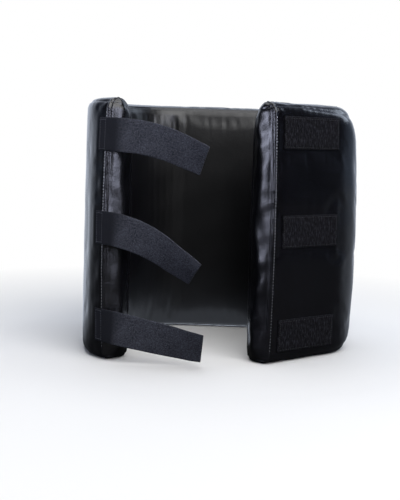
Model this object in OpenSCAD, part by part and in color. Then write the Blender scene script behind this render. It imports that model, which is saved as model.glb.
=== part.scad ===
/* [Pad] */
// Height of the pad, standing face to top edge
pad_h = 400; // [320:1:480]
// Width of the pad across its two straight sides
pad_w = 440; // [400:1:500]
// Thickness of the padded slab at its edges
pad_t = 50; // [46:1:64]
// How far the outer face swells out at mid height
crown = 4; // [2:0.5:8]
// How far the inner face swells in at mid height
inner_crown = 2; // [0.5:0.5:4]
// Rounding of the two top edges
top_round = 18; // [12:1:20]
// Rounding of the two bottom edges
bottom_round = 14; // [13:1:18]
// Thickness of the vinyl cover
skin_t = 1.4; // [0.8:0.1:2.5]
// Thickness of the firm foam behind the outer face
strike_t = 24; // [23:0.5:26]

/* [Front] */
// Outer radius of the two far bends
far_bend_r = 160; // [130:1:190]
// Distance of the fold lines behind the middle of the wrap space
fold_y = 30; // [10:1:60]

/* [Arms] */
// Straight side of the left arm
left_side = 100; // [70:1:140]
// Outer radius of the left arm's curl
left_curl_r = 89; // [75:1:120]
// Turn of the left arm's curl in degrees
left_curl_angle = 45; // [35:1:55]
// Flat run at the end of the left arm
left_flat = 24; // [20:1:50]
// Straight side of the right arm
right_side = 30; // [30:1:50]
// Outer radius of the right arm's curl
right_curl_r = 83; // [70:1:110]
// Turn of the right arm's curl in degrees
right_curl_angle = 52; // [40:1:60]
// Flat run at the end of the right arm
right_flat = 145; // [140:1:180]
// How far the top edge rolls in over the right curl
roll_in = 22; // [18:1:22]
// How far down the rolled top edge reaches over the right curl
roll_down = 58; // [24:1:80]
// Swell of the end gussets
end_swell = 6; // [3:0.5:9]
// Angle of the soft wedge at each fold
wedge_angle = 21; // [20:0.5:24]
// Play between the wedge and its neighbours
wedge_play = 0.4; // [0.3:0.05:0.8]
// Distance of the fold lines outside the swollen face
fold_out = 0.5; // [0.3:0.1:1.5]

/* [Straps] */
// Width of the strap tape
strap_w = 50; // [40:1:56]
// Thickness of the woven tape
tape_t = 1.2; // [0.8:0.1:2]
// Thickness of the hook layer behind the tape
hook_t = 1.2; // [0.8:0.1:2]
// How much narrower the hook layer is than the tape
hook_trim = 3; // [1:0.5:6]
// Length of tape sewn down on the left arm
sewn_len = 18; // [12:1:20]
// Length of tape standing past the end of the arm
stub_len = 20; // [14:1:28]
// Gap at the crease of each strap
crease_gap = 3.6; // [3.4:0.1:5]
// Angle between each hanging strap and its stub, seen from above
strap_yaw_angle = 33; // [25:1:40]
// Distance of the upper strap's middle below the top edge
top_strap_drop = 56; // [48:1:70]
// Height of the middle strap above the standing face
middle_strap_rise = 203; // [180:1:220]
// Distance of the lower strap's middle above the standing face
low_strap_rise = 54; // [52:1:70]
// Hanging angle of the upper strap's tip
top_droop_angle = 23; // [10:1:28]
// Hanging angle of the middle strap's tip
middle_droop_angle = 38; // [24:1:42]
// Hanging angle of the middle strap at its crease
middle_pitch_angle = 14; // [4:1:18]
// Hanging angle of the lower strap
low_droop_angle = 10; // [4:0.5:11]
// Straight run of the upper strap before its hook layer and bend
top_run = 20; // [10:1:30]
// Straight run of the middle strap before its hook layer and bend
middle_run = 12; // [8:1:20]
// Straight run of the lower strap before its hook layer
low_start = 16; // [8:1:30]
// Length of the hanging bend in the upper and middle straps
bend_run = 80; // [60:1:90]
// Straight run at the tip of the upper strap
top_tip = 38; // [30:1:50]
// Straight run at the tip of the middle strap
middle_tip = 47; // [30:1:55]
// Length of the lower strap from its crease
low_run = 138; // [110:1:142]

/* [Loop patches] */
// Length of each loop patch
patch_l = 117; // [70:1:120]
// Height of each loop patch
patch_w = 50; // [40:1:56]
// Thickness of each loop patch
patch_t = 2.2; // [1.5:0.1:3.5]
// Distance of the patches from the end of the right arm
patch_inset = 18; // [14:1:20]
// Distance of the upper patch's middle below the top edge
top_patch_drop = 46; // [44:1:60]
// Height of the middle patch above the standing face
middle_patch_rise = 203; // [180:1:220]
// Distance of the lower patch's middle above the standing face
low_patch_rise = 43; // [43:1:60]

/* [Hidden] */

VINYL = [0.06, 0.06, 0.07];
LINING = [0.10, 0.10, 0.11];
FIRM_FOAM = [0.30, 0.33, 0.38];
SOFT_FOAM = [0.78, 0.76, 0.70];
TAPE = [0.25, 0.26, 0.29];
HOOKS = [0.13, 0.13, 0.14];
LOOPS = [0.09, 0.09, 0.10];

// Facets of half an edge rounding, of the outer and inner faces, of a curl and of a layer on the face
round_steps = 2;
crown_steps = 6;
inner_steps = 4;
curl_steps = 7;
band_steps = 4;

half_w = pad_w / 2;
far_flat = pad_w - 2 * far_bend_r;
fold_x = crown + fold_out;
// Where a seam lies in an edge's rounding, from the face
seam_angle = 45;
// Rings of an end gusset, each as its shares of the inset and of the swell
dome_steps = [[0, 0], [0.12, 0.55], [0.35, 0.85], [0.75, 1]];
// How much of the rolled top edge reaches back to the right fold
fold_roll = 0.35;

// A run is [length, 0] or [outer radius, turn], then the roll of the top edge at its start and end
front_runs = [[far_bend_r, 90, 0, 0], [far_flat, 0, 0, 0], [far_bend_r, 90, 0, fold_roll]];
left_runs = [[left_side, 0, 0, 0], [left_curl_r, left_curl_angle, 0, 0], [left_flat, 0, 0, 0]];
right_runs = [[right_side, 0, fold_roll, 1], [right_curl_r, right_curl_angle, 1, 0], [right_flat, 0, 0, 0]];

top_z = pad_h - top_strap_drop;

function mix(a, b, t) = a + (b - a) * t;
function tail(list) = [for (i = [1 : len(list) - 1]) list[i]];
function flip(list) = [for (i = [len(list) - 1 : -1 : 0]) list[i]];

// A swollen face is a parabola that is full at its middle
function swell(t) = 1 - pow(2 * t - 1, 2);

// An outline's points are [depth inwards from the outer face, height]
function round_edge(x, z, rx, rz, from, to) = [
    for (k = [0 : round_steps])
        let (a = mix(from, to, k / round_steps))
            [x + rx * cos(a), z + rz * sin(a)]
];

function low_outer(inset, from, to) =
    round_edge(bottom_round, bottom_round, bottom_round - inset, bottom_round - inset, from, to);
function low_inner(inset, from, to) =
    round_edge(pad_t - bottom_round, bottom_round, bottom_round - inset, bottom_round - inset, from, to);
function high_inner(inset, from, to) =
    round_edge(pad_t - top_round, pad_h - top_round, top_round - inset, top_round - inset, from, to);
function high_outer(inset, roll, from, to) =
    let (rx = mix(top_round, roll_in, roll), rz = mix(top_round, roll_down, roll))
        round_edge(rx, pad_h - rz, rx - inset, rz - inset, from, to);

function outer_edge(inset, roll) = concat(
    low_outer(inset, 180 + seam_angle, 180),
    [
        for (k = [1 : crown_steps - 1])
            let (t = k / crown_steps, top = pad_h - mix(top_round, roll_down, roll))
                [inset - crown * swell(t), mix(bottom_round, top, t)]
    ],
    high_outer(inset, roll, 180, 180 - seam_angle)
);
function top_edge(inset, roll) =
    concat(high_outer(inset, roll, 180 - seam_angle, 90), high_inner(inset, 90, seam_angle));
function inner_edge(inset) = concat(
    high_inner(inset, seam_angle, 0),
    [
        for (k = [1 : inner_steps - 1])
            let (t = k / inner_steps)
                [pad_t - inset + inner_crown * swell(t), mix(pad_h - top_round, bottom_round, t)]
    ],
    low_inner(inset, 0, -seam_angle)
);
function bottom_edge(inset) =
    concat(low_inner(inset, -seam_angle, -90), low_outer(inset, 270, 180 + seam_angle));

// The whole outline, the firm layer's and the stretch from a depth to the inner face
function whole_outline(inset) =
    concat(outer_edge(inset, 0), tail(top_edge(inset, 0)), tail(inner_edge(inset)),
           flip(tail(flip(tail(bottom_edge(inset))))));
function strike_outline(inset, roll) =
    concat([[strike_t, inset]], low_outer(inset, 270, 180 + seam_angle), tail(outer_edge(inset, roll)),
           tail(high_outer(inset, roll, 180 - seam_angle, 90)), [[strike_t, pad_h - inset]]);
function backing_edge(inset) =
    concat([[strike_t, pad_h - inset]], high_inner(inset, 90, seam_angle), tail(inner_edge(inset)),
           tail(low_inner(inset, -seam_angle, -90)), [[strike_t, inset]]);

// A layer on the swollen face between two heights
function face_depth(z) = -crown * swell((z - bottom_round) / (pad_h - top_round - bottom_round));
function face_line(z, w, layer) = [
    for (k = [0 : band_steps])
        let (h = z + w * (k / band_steps - 0.5))
            [face_depth(h) - layer, h]
];

// A shell's outline runs along one edge and back along another
function shell(edge, back) = concat(edge, flip(back));

function heading(f) = [sin(f), cos(f)];
function inward(f) = [cos(f), -sin(f)];

// The place and direction at a share of a run, for a run that starts at p and heads to f
function along(r, p, f, t) =
    r[1] == 0
        ? [p + r[0] * t * heading(f), f]
        : [p + r[0] * (inward(f) - inward(f + r[1] * t)), f + r[1] * t];

// Stations along a list of runs, each [place, direction, roll of the top edge]
function stations(runs, p = [0, 0], f = 0, i = 0) =
    let (
        r = runs[i],
        steps = r[1] == 0 ? 1 : curl_steps,
        end = along(r, p, f, 1),
        here = [
            for (k = [0 : steps - 1])
                let (s = along(r, p, f, k / steps))
                    [s[0], s[1], mix(r[2], r[3], k / steps)]
        ]
    )
        i == len(runs) - 1
            ? concat(here, [[end[0], end[1], r[3]]])
            : concat(here, stations(runs, end[0], end[1], i + 1));

// An outline's ring at a station, moved along the heading, and more so further in where it slants
function ring(outline, s, ahead = 0, slant = 0) = [
    for (q = outline)
        let (p = s[0] + q[0] * inward(s[1]) + (ahead + slant * (q[0] + fold_x)) * heading(s[1]))
            [p[0], p[1], q[1]]
];

// A closed solid through rings of like outlines; a shell's ends are closed by strips.
// Facets on the back of a shell are cut along the same diagonal as on the layer that it lies on
module loft(rings, is_shell) {
    n = len(rings[0]);
    last = n * (len(rings) - 1);
    strips = n / 2 - 1;
    start = is_shell
        ? [for (i = [0 : strips - 1]) [i, i + 1, n - 2 - i, n - 1 - i]]
        : [[for (i = [0 : n - 1]) i]];
    polyhedron(
        points = [for (r = rings) each r],
        faces = concat(
            start,
            [for (f = start) [for (i = flip(f)) last + i]],
            [
                for (k = [0 : len(rings) - 2], i = [0 : n - 1])
                    let (a = k * n + i, b = k * n + (i + 1) % n, is_back = is_shell && i >= n / 2)
                        each is_back
                            ? [[a, a + n, b], [b, a + n, b + n]]
                            : [[a, a + n, b + n], [a, b + n, b]]
            ]
        )
    );
}

// An outline carried along the slab, slanting at its first ring where a wedge is cut out
function slab_rings(runs, outlines, cut) =
    let (s = stations(runs))
        [
            for (k = [0 : len(s) - 1])
                let (first = k == 0 && cut > 0)
                    ring(outlines[k], s[k], first ? wedge_play : 0, first ? tan(cut) : 0)
        ];
function rolls(runs) = [for (s = stations(runs)) s[2]];
function last_station(runs) = let (s = stations(runs)) s[len(s) - 1];

module slab_strike(runs, cut = 0) {
    loft(slab_rings(runs, [for (r = rolls(runs)) strike_outline(skin_t, r)], cut), false);
}

module slab_backing(runs, cut = 0) {
    loft(slab_rings(runs, [for (r = rolls(runs)) backing_edge(skin_t)], cut), false);
}

module slab_outer(runs, cut = 0) {
    outlines = [for (r = rolls(runs)) shell(outer_edge(0, r), outer_edge(skin_t, r))];
    loft(slab_rings(runs, outlines, cut), true);
}

module slab_inner(runs, cut = 0) {
    outlines = [for (r = rolls(runs)) shell(inner_edge(0), inner_edge(skin_t))];
    loft(slab_rings(runs, outlines, cut), true);
}

module slab_top(runs, cut = 0) {
    outlines = [for (r = rolls(runs)) shell(top_edge(0, r), top_edge(skin_t, r))];
    loft(slab_rings(runs, outlines, cut), true);
}

module slab_bottom(runs, cut = 0) {
    outlines = [for (r = rolls(runs)) shell(bottom_edge(0), bottom_edge(skin_t))];
    loft(slab_rings(runs, outlines, cut), true);
}

// The frames of the three bodies start on the fold lines, heading along the slab
module front_frame() {
    translate([-half_w, fold_y, 0]) children();
}

module right_frame() {
    translate([half_w, fold_y, 0]) rotate([0, 0, 180]) children();
}

module left_frame() {
    mirror([1, 0, 0]) right_frame() children();
}

// The soft wedge between the front and an arm, at the start of the arm's runs
module fold_loft(outline, is_shell) {
    s = stations(left_runs)[0];
    loft([ring(outline, s, wedge_play, 0), ring(outline, s, 0, tan(wedge_angle))], is_shell);
}

module fold_foam() {
    fold_loft(backing_edge(skin_t), false);
}

module fold_lining() {
    fold_loft(shell(backing_edge(0), backing_edge(skin_t)), true);
}

// An end gusset swells from the slab's section to a smaller, flatter face
module end_gusset(runs) {
    s = last_station(runs);
    rings = [
        for (k = dome_steps)
            ring(whole_outline(mix(skin_t, bottom_round, k[0])), s, k[1] * end_swell)
    ];
    loft(rings, false);
}

// A layer on an arm's flat end run, from one distance ahead of its end to another
module face_layer(runs, z, w, layer, from, to) {
    s = last_station(runs);
    outline = shell(face_line(z, w, layer), face_line(z, w, 0));
    loft([ring(outline, s, from), ring(outline, s, to)], true);
}

module strap_anchor(z) {
    face_layer(left_runs, z, strap_w, tape_t, -sewn_len, stub_len);
}

module loop_patch(z) {
    face_layer(right_runs, z, patch_w, patch_t, -patch_inset - patch_l, -patch_inset);
}

// The frame of a hanging strap: x runs along it, y is up and z goes through its thickness
module crease_frame(z) {
    s = last_station(left_runs);
    p = s[0] + (face_depth(z) - tape_t) * inward(s[1]) + (stub_len + crease_gap) * heading(s[1]);
    left_frame()
        translate([p[0], p[1], z])
            rotate([90, 0, 90 - s[1] - strap_yaw_angle])
                children();
}

// A strap bends down in its own plane: a run is [length, turn], and a station [place, angle down]
function strap_point(r, p, a, t) =
    r[1] == 0
        ? [p + r[0] * t * [cos(a), -sin(a)], a]
        : let (b = a + r[1] * t, radius = r[0] * 180 / (PI * r[1]))
            [p + radius * [sin(b) - sin(a), cos(b) - cos(a)], b];
function strap_stations(runs, p = [0, 0], a = 0, i = 0) =
    let (
        r = runs[i],
        steps = r[1] == 0 ? 1 : curl_steps,
        end = strap_point(r, p, a, 1),
        here = [for (k = [0 : steps - 1]) strap_point(r, p, a, k / steps)]
    )
        i == len(runs) - 1
            ? concat(here, [end])
            : concat(here, strap_stations(runs, end[0], end[1], i + 1));

// A strap's edge at its crease stands upright, along the fold
function upright(stations) = concat([[stations[0][0], 0]], tail(stations));

module strap_layer(stations, w, from, to) {
    corners = [[from, -w / 2], [from, w / 2], [to, w / 2], [to, -w / 2]];
    loft(
        [
            for (s = stations)
                [for (c = corners) [s[0][0] + c[1] * sin(s[1]), s[0][1] + c[1] * cos(s[1]), c[0]]]
        ],
        false
    );
}

// Each strap is [height, runs, angle down at its crease]; the hooks start after its first run
top_strap = [top_z, [[top_run, 0], [bend_run, top_droop_angle], [top_tip, 0]], 0];
middle_strap = [
    middle_strap_rise,
    [[middle_run, 0], [bend_run, middle_droop_angle - middle_pitch_angle], [middle_tip, 0]],
    middle_pitch_angle
];
low_strap = [low_strap_rise, [[low_start, 0], [low_run - low_start, 0]], low_droop_angle];

module strap_tape(s) {
    crease_frame(s[0]) strap_layer(upright(strap_stations(s[1], [0, 0], s[2])), strap_w, 0, tape_t);
}

module strap_hooks(s) {
    start = strap_point(s[1][0], [0, 0], s[2], 1);
    hooked = strap_stations(tail(s[1]), start[0], start[1]);
    crease_frame(s[0]) strap_layer(hooked, strap_w - hook_trim, tape_t, tape_t + hook_t);
}

module strike_foam_front() { color(FIRM_FOAM) front_frame() slab_strike(front_runs); }
module backing_foam_front() { color(SOFT_FOAM) front_frame() slab_backing(front_runs); }
module outer_cover_front() { color(VINYL) front_frame() slab_outer(front_runs); }
module inner_cover_front() { color(LINING) front_frame() slab_inner(front_runs); }
module top_gusset_front() { color(VINYL) front_frame() slab_top(front_runs); }
module bottom_gusset_front() { color(VINYL) front_frame() slab_bottom(front_runs); }

module strike_foam_left() { color(FIRM_FOAM) left_frame() slab_strike(left_runs, wedge_angle); }
module backing_foam_left() { color(SOFT_FOAM) left_frame() slab_backing(left_runs, wedge_angle); }
module outer_cover_left() { color(VINYL) left_frame() slab_outer(left_runs, wedge_angle); }
module inner_cover_left() { color(LINING) left_frame() slab_inner(left_runs, wedge_angle); }
module top_gusset_left() { color(VINYL) left_frame() slab_top(left_runs, wedge_angle); }
module bottom_gusset_left() { color(VINYL) left_frame() slab_bottom(left_runs, wedge_angle); }

module strike_foam_right() { color(FIRM_FOAM) right_frame() slab_strike(right_runs, wedge_angle); }
module backing_foam_right() { color(SOFT_FOAM) right_frame() slab_backing(right_runs, wedge_angle); }
module outer_cover_right() { color(VINYL) right_frame() slab_outer(right_runs, wedge_angle); }
module inner_cover_right() { color(LINING) right_frame() slab_inner(right_runs, wedge_angle); }
module top_gusset_right() { color(VINYL) right_frame() slab_top(right_runs, wedge_angle); }
module bottom_gusset_right() { color(VINYL) right_frame() slab_bottom(right_runs, wedge_angle); }

module left_fold_foam() { color(SOFT_FOAM) left_frame() fold_foam(); }
module left_fold_lining() { color(LINING) left_frame() fold_lining(); }
module right_fold_foam() { color(SOFT_FOAM) right_frame() fold_foam(); }
module right_fold_lining() { color(LINING) right_frame() fold_lining(); }

module left_end_gusset() { color(VINYL) left_frame() end_gusset(left_runs); }
module right_end_gusset() { color(VINYL) right_frame() end_gusset(right_runs); }

module top_strap_anchor() { color(TAPE) left_frame() strap_anchor(top_z); }
module middle_strap_anchor() { color(TAPE) left_frame() strap_anchor(middle_strap_rise); }
module bottom_strap_anchor() { color(TAPE) left_frame() strap_anchor(low_strap_rise); }
module top_strap_tape() { color(TAPE) strap_tape(top_strap); }
module middle_strap_tape() { color(TAPE) strap_tape(middle_strap); }
module bottom_strap_tape() { color(TAPE) strap_tape(low_strap); }
module top_strap_hooks() { color(HOOKS) strap_hooks(top_strap); }
module middle_strap_hooks() { color(HOOKS) strap_hooks(middle_strap); }
module bottom_strap_hooks() { color(HOOKS) strap_hooks(low_strap); }

module top_loop_patch() { color(LOOPS) right_frame() loop_patch(pad_h - top_patch_drop); }
module middle_loop_patch() { color(LOOPS) right_frame() loop_patch(middle_patch_rise); }
module bottom_loop_patch() { color(LOOPS) right_frame() loop_patch(low_patch_rise); }

strike_foam_front();
backing_foam_front();
outer_cover_front();
inner_cover_front();
top_gusset_front();
bottom_gusset_front();
strike_foam_left();
backing_foam_left();
outer_cover_left();
inner_cover_left();
top_gusset_left();
bottom_gusset_left();
strike_foam_right();
backing_foam_right();
outer_cover_right();
inner_cover_right();
top_gusset_right();
bottom_gusset_right();
left_fold_foam();
left_fold_lining();
right_fold_foam();
right_fold_lining();
left_end_gusset();
right_end_gusset();
top_strap_anchor();
middle_strap_anchor();
bottom_strap_anchor();
top_strap_tape();
middle_strap_tape();
bottom_strap_tape();
top_strap_hooks();
middle_strap_hooks();
bottom_strap_hooks();
top_loop_patch();
middle_loop_patch();
bottom_loop_patch();
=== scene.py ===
"""Looks of a wrap-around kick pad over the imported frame: cover, padding, straps, loop patches and stage."""

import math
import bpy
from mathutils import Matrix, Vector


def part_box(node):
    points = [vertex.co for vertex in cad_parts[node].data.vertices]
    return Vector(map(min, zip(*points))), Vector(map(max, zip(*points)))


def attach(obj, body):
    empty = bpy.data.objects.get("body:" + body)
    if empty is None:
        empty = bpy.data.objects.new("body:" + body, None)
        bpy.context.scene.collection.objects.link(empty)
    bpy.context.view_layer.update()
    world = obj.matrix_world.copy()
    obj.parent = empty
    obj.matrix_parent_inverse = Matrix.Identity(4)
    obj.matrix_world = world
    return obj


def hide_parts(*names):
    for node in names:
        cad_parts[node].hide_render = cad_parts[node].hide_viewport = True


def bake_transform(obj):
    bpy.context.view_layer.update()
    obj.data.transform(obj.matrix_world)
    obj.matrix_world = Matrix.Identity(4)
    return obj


bl_info = {
    "name": "Wrap-around Kick Pad",
    "version": (1, 0, 0),
    "blender": (4, 5, 0),
    "location": "View3D > Sidebar > Kick Pad",
    "description": "Sewn cover, padding, straps and loop patches of a wrap-around kick pad",
    "category": "Add Mesh",
}

from typing import NamedTuple

import bpy
import numpy as np
from mathutils import Matrix, Vector

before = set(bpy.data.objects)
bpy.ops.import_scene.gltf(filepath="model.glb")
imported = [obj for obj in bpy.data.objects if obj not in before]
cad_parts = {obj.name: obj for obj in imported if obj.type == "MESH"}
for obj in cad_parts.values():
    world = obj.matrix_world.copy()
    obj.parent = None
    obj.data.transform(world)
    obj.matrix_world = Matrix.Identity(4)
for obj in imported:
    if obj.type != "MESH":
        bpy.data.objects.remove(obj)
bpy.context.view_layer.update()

PAD_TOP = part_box("top_gusset_front")[1][2]
UP = np.array([0.0, 0.0, 1.0])
# Share of the rolled edge at the right fold, at the end of the right curl, and at both sewn ends, where
# a negative roll rounds the inner top corner instead.
FOLD_ROLL, CURL_ROLL, END_ROLL = 0.85, 0.28, -1.0
# Distance of the stitches from the edge of a strap's tail or a patch.
STITCH_INSET = 0.003
# Direction of the bright backdrop, which only reflections see.
BACKDROP_WAY = (-0.26, 0.966, 0.0)


class Counts(NamedTuple):
    """Steps of a section along a face, round a rounding and across a narrow side."""

    face: int
    arc: int
    flat: int

    @property
    def side(self):
        """Points of one side, from the bottom flat to the top flat."""
        return 2 * self.arc + self.face + 1

    @property
    def inner(self):
        """Number of the inner side's first point, which is half of all points."""
        return self.side + self.flat - 1


# Steps of the cover's sections, of its coarse cloth net's and of the foam's.
COVER_FINE = Counts(62, 12, 24)
COVER_COARSE = Counts(44, 4, 6)
PADDING = Counts(24, 6, 2)
# Distance between the cover's sections, in metres.
COVER_STEP = 0.0027
# How far the cover's plain surface lies inside the slab's outline, in metres.
COVER_INSET = 0.0006
# Steps across a strap or a loop patch.
BAND_STEPS = 26
# Sections along each half of the foam and along a loop patch.
PADDING_ROWS, PATCH_ROWS = 70, 118
# Layers of the frame that each half of the cover stands for.
COVER_LAYERS = ("outer_cover", "inner_cover", "top_gusset", "bottom_gusset")
# Settings of the cloth net, its rows along the slab, and the frames over which it swells.
CLOTH = {
    "vertex_group_mass": "held",
    "quality": 5,
    "mass": 0.4,
    "tension_stiffness": 30,
    "compression_stiffness": 30,
    "shear_stiffness": 10,
    "bending_stiffness": 0.6,
    "shrink_min": -0.004,
    "use_pressure": True,
    "uniform_pressure_force": 4.0,
}
CLOTH_ROWS = 172
CLOTH_FRAMES = 20


class StrapShape(NamedTuple):
    """How a strap hangs past its crease, in metres and degrees.

    It starts at a pitch, goes down to an angle at the end of each run, and twists towards its tip, upper edge
    outwards. The crease turns over a soft length on either side, the tip curls, and hooks start past a gap.
    """

    pitch: float
    runs: tuple
    twist: float
    soft: float
    curl: float
    hooks_from: float


STRAPS = {
    "top": StrapShape(4.0, ((0.020, 5.0), (0.080, 23.0), (0.038, 23.0)), 22.0, 0.009, 0.25, 0.020),
    "middle": StrapShape(14.0, ((0.012, 14.0), (0.080, 36.0), (0.047, 36.0)), 38.0, 0.009, -1.0, 0.012),
    "bottom": StrapShape(10.0, ((0.138, 10.0),), 24.0, 0.0045, 0.25, 0.016),
}


class Lamp(NamedTuple):
    """An area lamp in metres, watts and degrees, aimed at a height over the origin."""

    name: str
    place: tuple
    size: tuple
    power: float
    tint: tuple = (1.0, 1.0, 1.0)
    aim: float = 0.0
    spread: float = 180.0


LAMPS = (
    Lamp("key_light", (0.9, -1.7, 1.8), (2.2, 2.2), 70.0),
    Lamp("top_light", (-0.2, 0.1, 2.6), (2.4, 2.4), 40.0),
    Lamp("right_softbox", (1.26, -1.68, 0.63), (0.55, 1.0), 1.05, (0.74, 0.78, 1.0), 0.58, 40.0),
    Lamp("left_softbox", (-1.68, -1.20, 0.69), (0.70, 1.0), 1.5, (0.74, 0.78, 1.0), 0.58, 40.0),
    Lamp("rear_softbox", (1.70, 0.80, 1.25), (1.0, 0.8), 7.0, (0.75, 0.85, 1.0)),
)


def length(name, description, default):
    """A length in metres that the user can change."""
    return bpy.props.FloatProperty(
        name=name, description=description, default=default, min=0.0, unit="LENGTH", precision=4
    )


def angle(name, description, degrees):
    """An angle that the user can change, given in degrees."""
    return bpy.props.FloatProperty(
        name=name, description=description, default=math.radians(degrees), subtype="ANGLE"
    )


def colour(name, description, default):
    """A linear colour that the user can change."""
    return bpy.props.FloatVectorProperty(
        name=name, description=description, default=default, size=3, min=0.0, max=1.0, subtype="COLOR"
    )


class KickPadSlab(bpy.types.PropertyGroup):
    """Sizes of the padded slab and of the runs that its outer face follows."""

    height: length("Height", "Standing face to top edge", PAD_TOP)
    half_width: length("Half width", "Middle to either straight side", 0.220)
    thickness: length("Thickness", "Thickness of the slab at its edges", 0.050)
    crown: length("Outer crown", "Swell of the outer face", 0.004)
    inner_crown: length("Inner crown", "Swell of the inner face", 0.002)
    top_round: length("Top rounding", "Rounding of the top edges", 0.018)
    bottom_round: length("Bottom rounding", "Rounding of the bottom edges", 0.014)
    firm_layer: length("Firm layer", "Depth of the firm foam from the outer face", 0.024)
    fold_y: length("Fold place", "Distance of the folds behind the middle", 0.030)
    far_bend: length("Far bend", "Outer radius of the two far bends", 0.160)
    left_side: length("Left side", "Straight side of the left arm", 0.0668)
    left_bow: length("Left bow", "Outer radius of the left arm's slow turn", 0.230)
    left_bow_turn: angle("Left bow turn", "Angle of the left arm's slow turn", 20)
    left_curl: length("Left curl", "Outer radius of the left curl", 0.040)
    left_turn: angle("Left turn", "Turn of the left arm from its side to its end", 45)
    left_flat: length("Left end", "Flat run at the left end", 0.0281)
    left_press: length("Left press", "How much flatter the left side is than the others", 0.0038)
    right_side: length("Right side", "Straight side of the right arm", 0.030)
    right_curl: length("Right curl", "Outer radius of the right curl", 0.083)
    right_turn: angle("Right turn", "Turn of the right curl", 52)
    right_flat: length("Right end", "Flat run at the right end", 0.145)
    roll_in: length("Roll depth", "Depth of the rolled top edge at the right curl", 0.040)
    roll_down: length("Roll height", "Height of the rolled top edge at the right curl", 0.075)
    curl_blend: length("Curl blend", "Reach over which a curl eases into a straight run", 0.016)
    tuck_in: length("Tuck depth", "Depth of the tucked bottom edge at the right curl", 0.022)
    tuck_up: length("Tuck height", "Height of the tucked bottom edge at the right curl", 0.046)
    end_in: length("End corner depth", "Depth of the rounded inner top corner at both ends", 0.029)
    end_down: length("End corner height", "Height of the rounded inner top corner at both ends", 0.062)
    end_slope: length("End corner run", "Length over which that corner grows at the right end", 0.050)
    end_swell: length("End swell", "Swell of the end gussets", 0.009)
    end_round: length("End rounding", "Rounding of the sewn ends", 0.0018)


class KickPadStraps(bpy.types.PropertyGroup):
    """Sizes of the three straps."""

    width: length("Width", "Width of the tape", 0.050)
    tape: length("Tape", "Thickness of the woven tape", 0.0012)
    hooks: length("Hooks", "Thickness of the hook layer", 0.0012)
    trim: length("Hook trim", "How much narrower the hooks are", 0.003)
    sewn: length("Sewn length", "Tape sewn down on the arm", 0.018)
    stub: length("Stub", "Tape past the end of the arm", 0.020)
    gap: length("Crease", "Length of the crease", 0.0036)
    yaw: angle("Crease turn", "Turn of a strap at its crease", 33)


class KickPadPatches(bpy.types.PropertyGroup):
    """Sizes of the three loop patches."""

    length: length("Length", "Length of a patch", 0.117)
    width: length("Height", "Height of a patch", 0.050)
    pile: length("Pile", "Thickness of a patch", 0.0022)
    inset: length("Inset", "Distance from the end of the right arm", 0.018)


class KickPadFinish(bpy.types.PropertyGroup):
    """Colours of the finishes."""

    vinyl: colour("Vinyl", "Glossy cover", (0.0024, 0.0024, 0.0034))
    lining: colour("Lining", "Inner cover", (0.0022, 0.0022, 0.0030))
    tape: colour("Tape", "Woven straps", (0.0435, 0.0460, 0.0575))
    hooks: colour("Hooks", "Hook layer", (0.012, 0.012, 0.013))
    loops: colour("Loops", "Loop pile", (0.0064, 0.0064, 0.0078))
    thread: colour("Thread", "Seam thread", (0.340, 0.345, 0.370))
    firm_foam: colour("Firm foam", "Closed-cell foam", (0.072, 0.089, 0.119))
    soft_foam: colour("Soft foam", "Open-cell foam", (0.571, 0.539, 0.448))
    floor: colour("Floor", "Studio floor", (0.71, 0.705, 0.70))


def heading(f):
    """Unit direction of travel at angle f, clockwise from +Y."""
    return np.stack([np.sin(f), np.cos(f)], -1)


def inward(f):
    """Unit direction from the outer face into the slab, a quarter turn right of the heading."""
    return np.stack([np.cos(f), -np.sin(f)], -1)


def raised(plan, z):
    """Places or directions in plan with a height added to each."""
    return np.concatenate([plan, np.broadcast_to(z, plan.shape[:-1])[..., None]], -1)


def between(a, b, t):
    """The value a share t of the way from a to b."""
    return a + (b - a) * t


def swell(t):
    """Parabola that is 1 at the middle and 0 at both ends."""
    return 1 - (2 * t - 1) ** 2


def ease(t):
    """Smooth step from 0 to 1."""
    t = np.clip(t, 0, 1)
    return t * t * (3 - 2 * t)


def bump(d, width):
    """Bell curve of a distance."""
    return np.exp(-((d / width) ** 2))


def ripple(x, low, high, count, seed):
    """Sum of sines of irregular wavelengths between low and high, about 1 at its largest."""
    rng = np.random.default_rng(seed)
    waves = 2 * math.pi / rng.uniform(low, high, count)
    phase = rng.uniform(0, 2 * math.pi, count)
    return np.sin(x[..., None] * waves + phase).sum(-1) / math.sqrt(2 * count)


def slab_runs(pad):
    """Runs of the outer face from the left end to the right: length, turn, and roll at the run's end."""
    quarter = math.pi / 2

    def straight(run, roll=0.0):
        """A run without a turn."""
        return run, 0.0, roll

    def bend(radius, turn, roll=0.0):
        """An even turn of the outer face at a radius."""
        return radius * turn, turn, roll

    return [
        straight(pad.left_flat),
        bend(pad.left_curl, pad.left_turn - pad.left_bow_turn),
        bend(pad.left_bow, pad.left_bow_turn),
        straight(pad.left_side),
        bend(pad.far_bend, quarter),
        straight(2 * (pad.half_width - pad.far_bend)),
        bend(pad.far_bend, quarter, FOLD_ROLL),
        straight(pad.right_side, 1.0),
        bend(pad.right_curl, pad.right_turn, CURL_ROLL),
        straight(pad.right_flat - pad.end_slope),
        straight(pad.end_slope, END_ROLL),
    ]


def slab_marks(pad):
    """Distances along the outer face of its left fold, far middle and right end."""
    lengths = [run[0] for run in slab_runs(pad)]
    fold = sum(lengths[:4])
    return fold, fold + lengths[4] + lengths[5] / 2, sum(lengths)


def smoothed(values, step, reach):
    """Running mean of evenly spaced values over a reach, taken twice."""
    n = max(int(round(reach / step / 2)), 1)
    for _ in range(2):
        values = np.convolve(np.pad(values, n, mode="edge"), np.ones(2 * n + 1) / (2 * n + 1), "valid")
    return values


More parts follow.
